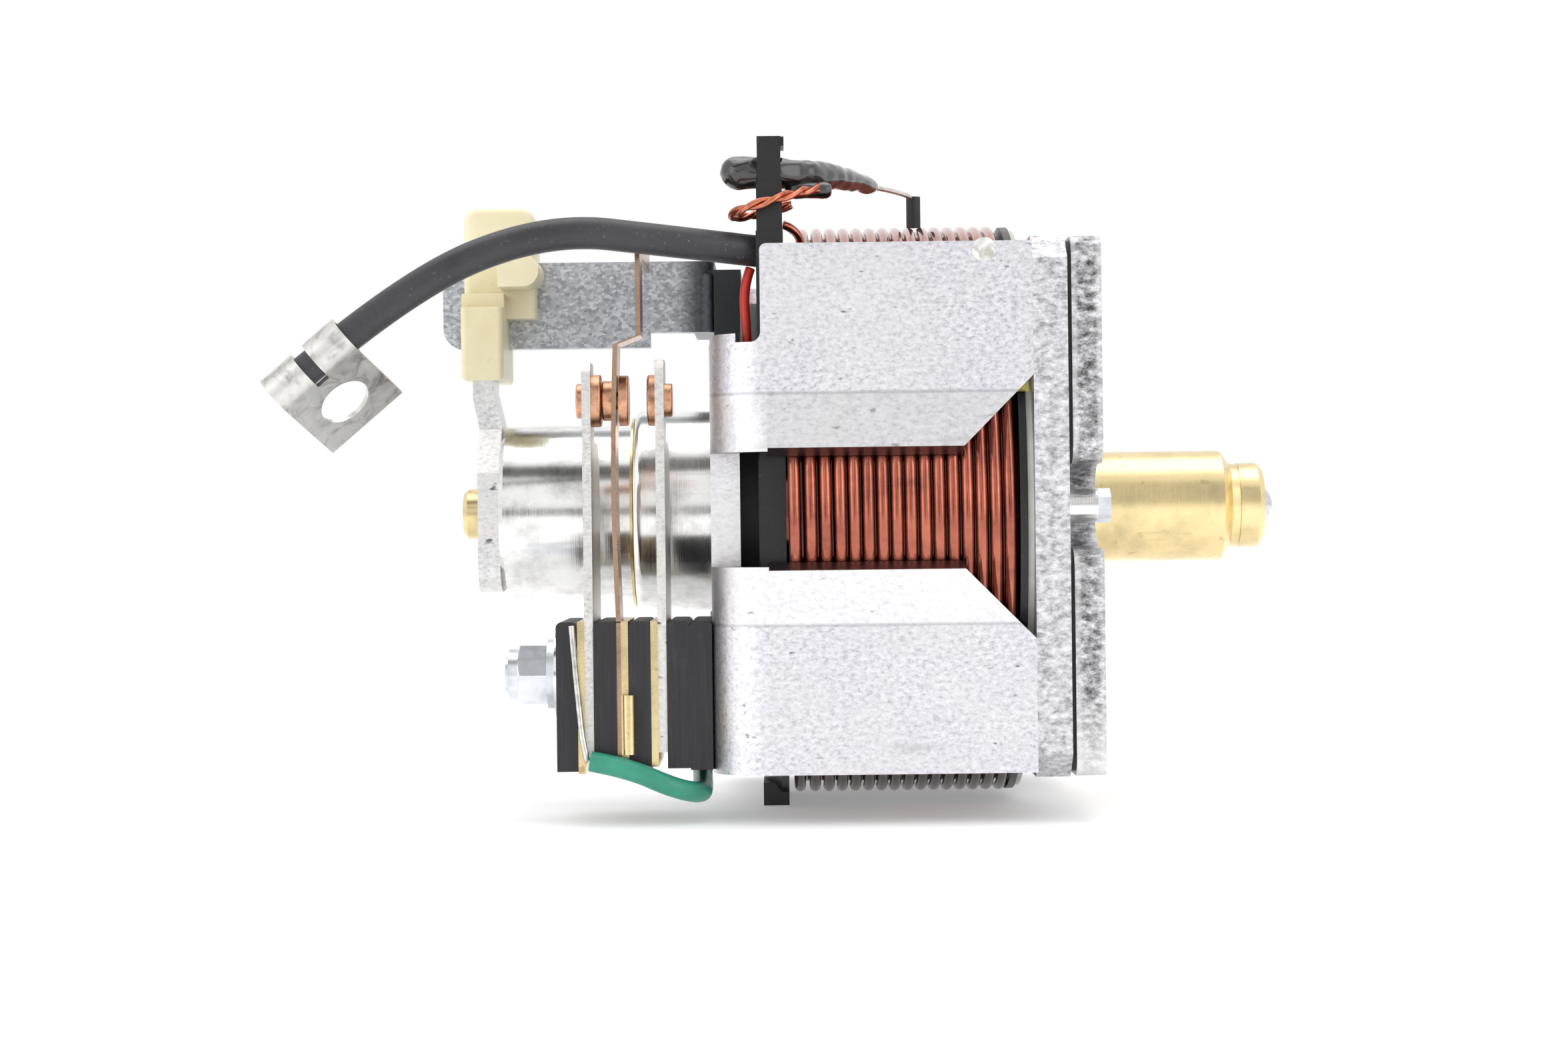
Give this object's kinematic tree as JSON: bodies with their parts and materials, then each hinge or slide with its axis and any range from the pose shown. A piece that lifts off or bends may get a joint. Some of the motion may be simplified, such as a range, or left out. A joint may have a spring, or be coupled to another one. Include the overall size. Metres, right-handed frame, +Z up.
{
  "type": "solenoid switch",
  "caption": "Heavy solenoid with a copper coil in an open steel yoke, a sliding brass nose with a ball tip, and a plunger-worked changeover contact stack.",
  "frame": {"origin": "on the plunger axis, in the plane of the mounting flange's outer face, where the brass nose comes out", "axes": "+X along the plunger axis towards the nose's ball tip, +Z up towards the terminal post's end, the contact stack on the -Y side"},
  "size_m": [0.1756, 0.1184, 0.1158],
  "materials": {
    "zinc_steel": "zinc-plated, matt and finely grained",
    "galvanised_steel": "galvanised, spangled",
    "bright_steel": "turned and bright zinc-plated",
    "screw_steel": "dull zinc-plated",
    "spring_steel": "oiled spring wire",
    "ball_steel": "polished bearing ball",
    "tinned_steel": "tinned, slightly stained",
    "tinned_copper": "tinned copper and solder",
    "brass": "turned brass, lightly tarnished",
    "brass_sheet": "rolled brass sheet",
    "leaf_bronze": "rolled phosphor bronze",
    "contact_copper": "bare copper contact metal, dulled",
    "bare_copper": "bright orange copper wire",
    "enamel_copper": "copper wire under red-brown enamel",
    "black_plastic": "moulded, slightly glossy",
    "phenolic_black": "pressed phenolic board",
    "gasket_black": "compressed fibre gasket",
    "rubber_black": "soft black rubber",
    "fibre_grey": "pressed fibre washer",
    "yellow_tape": "varnished woven tape",
    "cream_nylon": "cream nylon, slightly yellowed",
    "black_cable": "smooth black cable sheath",
    "green_pvc": "green insulation",
    "red_pvc": "red insulation",
    "black_lacquer": "thick black lacquer over solder",
    "clear_lacquer": "dried drop of lacquer"
  },
  "bodies": {
    "frame": {"yoke_frame": "zinc_steel", "pole_plate": "zinc_steel", "gasket": "gasket_black", "mounting_flange": "zinc_steel", "flange_screws": "screw_steel", "slot_screws": "screw_steel", "slot_spacers": "bright_steel", "bobbin": "black_plastic", "cushion_ring": "rubber_black", "end_washer": "fibre_grey", "pull_in_winding": "enamel_copper", "hold_winding": "enamel_copper", "insulating_tape": "yellow_tape", "guide_tube": "brass", "collar": "bright_steel", "pole_core": "bright_steel", "guide_bar": "galvanised_steel", "guide_bar_rivets": "bright_steel", "insulator_a": "phenolic_black", "insulator_b": "phenolic_black", "insulator_c": "phenolic_black", "insulator_d": "phenolic_black", "insulator_e": "phenolic_black", "brass_terminal_1": "brass_sheet", "brass_terminal_2": "brass_sheet", "brass_terminal_3": "brass_sheet", "leaf_tail": "leaf_bronze", "blade_left": "zinc_steel", "contact_left": "contact_copper", "blade_right": "zinc_steel", "contact_right": "contact_copper", "insulating_bush": "phenolic_black", "flat_washer": "bright_steel", "lock_washer": "screw_steel", "lock_nut": "bright_steel", "clamp_bolt": "screw_steel", "cable": "black_cable", "ring_terminal": "tinned_steel", "joint_blob": "black_lacquer", "green_wire": "green_pvc", "green_conductor": "tinned_copper", "solder_lug": "tinned_copper", "red_lead": "red_pvc", "coil_lead": "enamel_copper", "lead_wrap": "bare_copper", "tinned_lead": "tinned_copper", "lead_sleeve": "rubber_black", "lacquer_drop": "clear_lacquer"},
    "plunger": {"plunger_core": "bright_steel", "push_rod": "brass", "nose_ball": "ball_steel", "actuator_plate": "zinc_steel", "nylon_slider": "cream_nylon", "return_spring": "spring_steel"},
    "contact_leaf": {"moving_leaf": "leaf_bronze", "moving_contacts": "contact_copper"}
  },
  "joints": [
    {"name": "plunger_slide", "type": "slide", "parent": "frame", "child": "plunger", "axis": [1, 0, 0], "range_m": [0, 0.0234], "stiffness_N_per_m": 1500, "springref_m": -0.012, "deforming": ["return_spring"]},
    {"name": "leaf_flex", "type": "hinge", "parent": "frame", "child": "contact_leaf", "pos_m": [-0.0816, -0.041, -0.0186], "axis": [0, 1, 0], "range_deg": [0, 4]}
  ],
  "couplings": [
    {"joint": "leaf_flex", "follows": "plunger_slide", "rad_per_m": 2.95}
  ]
}
